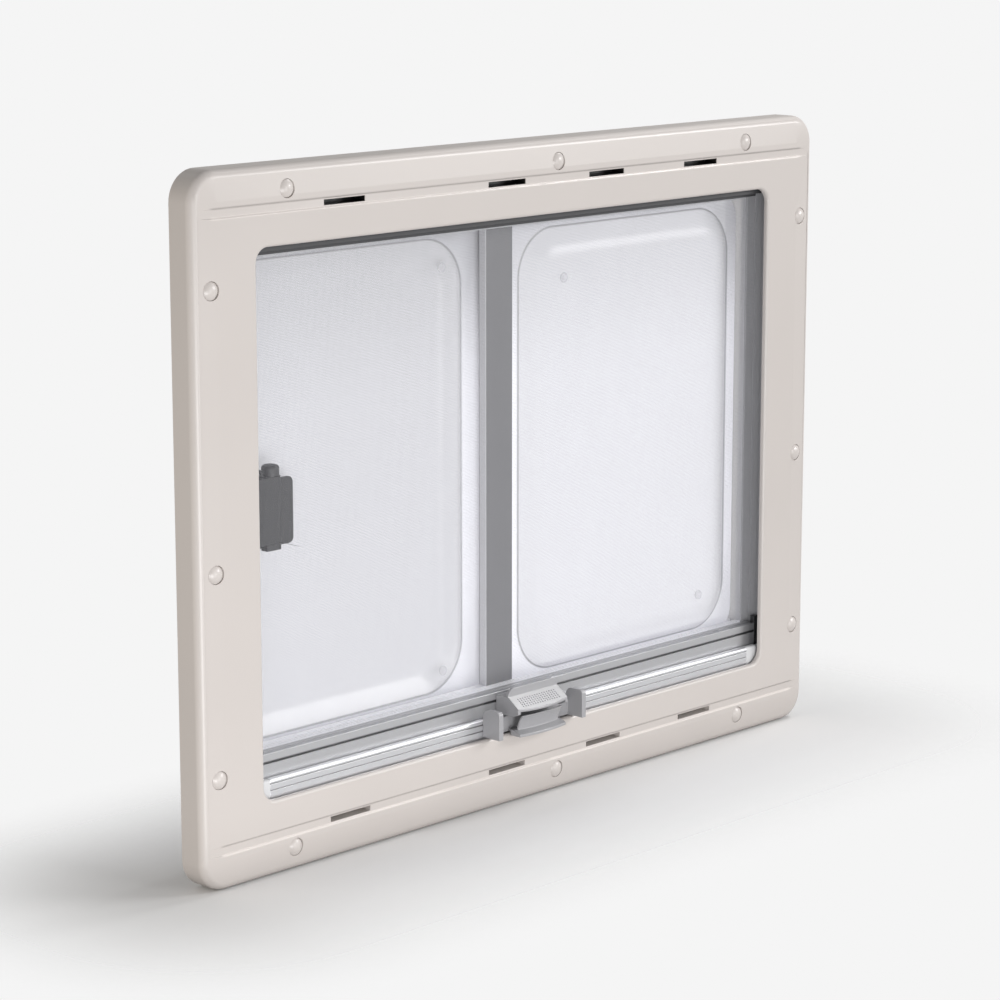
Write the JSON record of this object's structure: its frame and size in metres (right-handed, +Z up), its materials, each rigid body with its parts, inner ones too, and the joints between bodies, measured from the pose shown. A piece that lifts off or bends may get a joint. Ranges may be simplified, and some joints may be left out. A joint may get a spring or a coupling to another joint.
{
  "type": "caravan sliding window",
  "caption": "Caravan window with a cream inner frame, sliding double acrylic panes, pull-down insect screen and a roller blind bar joined by a central catch.",
  "frame": {"origin": "window's centre on the plane of the inner frame's back face, which lies on the wall's inner face", "axes": "+X to the right seen from the room, +Y through the wall to the outdoors, +Z up"},
  "size_m": [0.776, 0.084, 0.59],
  "materials": {
    "cream_moulding": "satin cream moulding",
    "cap_plastic": "satin cream caps",
    "frame_metal": "satin anodised",
    "track_plastic": "light grey, satin",
    "seal_rubber": "matt black",
    "acrylic": "milky acrylic, glossy",
    "plug_plastic": "clear, slightly milky",
    "stile_plastic": "mid grey, satin",
    "guide_plastic": "near-black, satin",
    "cassette_metal": "dark grey, satin",
    "end_plastic": "light grey, satin",
    "screen_fabric": "fine woven insect mesh",
    "bar_metal": "satin anodised",
    "catch_plastic": "mid grey, satin",
    "latch_plastic": "dark grey, satin"
  },
  "bodies": {
    "root": {"inner_frame": "cream_moulding", "screw_caps_left": "cap_plastic", "screw_caps_right": "cap_plastic", "screw_caps_top": "cap_plastic", "screw_caps_bottom": "cap_plastic", "outer_frame": "frame_metal", "jamb_left": "frame_metal", "jamb_right": "frame_metal", "bottom_track": "track_plastic", "top_track": "track_plastic", "wall_seal": "seal_rubber", "fixed_pane_flat": "acrylic", "fixed_pane_formed": "acrylic", "sash_pane_flat": "acrylic", "sash_pane_formed": "acrylic", "fixed_pane_plugs": "plug_plastic", "sash_pane_plugs": "plug_plastic", "fixed_stile": "stile_plastic", "sash_stile": "stile_plastic", "screen_guide_left": "guide_plastic", "screen_guide_right": "guide_plastic", "screen_cassette_ends": "guide_plastic", "blind_cassette_ends": "guide_plastic", "screen_bar_ends": "guide_plastic", "screen_cassette": "cassette_metal", "blind_cassette": "cassette_metal", "blind_bar_ends": "end_plastic", "screen_mesh": "screen_fabric", "screen_bar": "bar_metal", "blind_bar": "bar_metal", "catch_latch": "catch_plastic", "catch_keeper": "catch_plastic", "sash_latch_base": "latch_plastic", "sash_latch_lever": "latch_plastic"}
  },
  "joints": []
}
